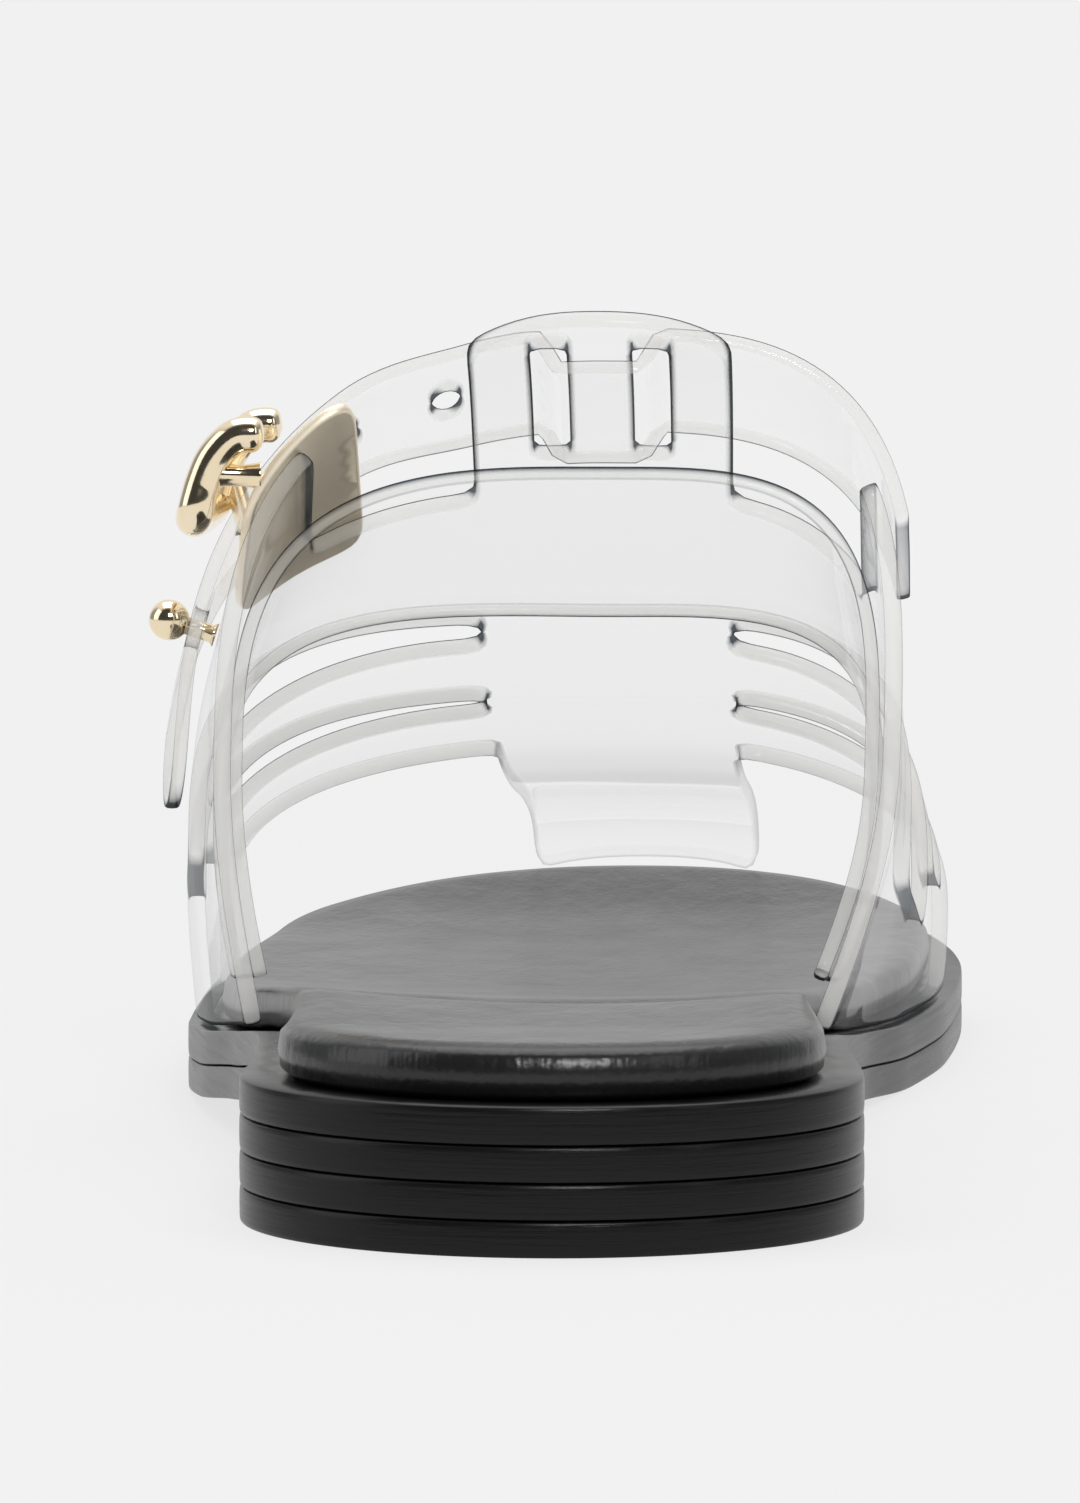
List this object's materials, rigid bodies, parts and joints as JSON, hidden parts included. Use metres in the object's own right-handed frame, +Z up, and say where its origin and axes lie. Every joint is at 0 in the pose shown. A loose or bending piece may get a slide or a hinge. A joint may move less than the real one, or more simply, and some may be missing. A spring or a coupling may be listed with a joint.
{
  "type": "jelly sandal",
  "caption": "Left fisherman mule with a clear moulded upper, buckle strap, padded black footbed and stacked low heel.",
  "frame": {"origin": "on the floor, under the middle of the whole sandal's box", "axes": "+Z up, +Y from heel to toe, +X towards the inner side of this left shoe"},
  "size_m": [0.0904, 0.25, 0.0928],
  "materials": {
    "edge_leather": "polished edge",
    "footbed_leather": "satin, padded",
    "clear_plastic": "clear, glossy",
    "pale_gold": "polished"
  },
  "bodies": {
    "root": {"midsole": "edge_leather", "outsole": "edge_leather", "heel_lift_upper": "edge_leather", "heel_lift_lower": "edge_leather", "footbed": "footbed_leather", "cage": "clear_plastic", "instep_band": "clear_plastic", "buckle_strap": "clear_plastic", "buckle_plate": "pale_gold", "rivet_rear": "pale_gold", "rivet_front": "pale_gold", "ball_stud": "pale_gold", "buckle_frame": "pale_gold"}
  },
  "joints": []
}
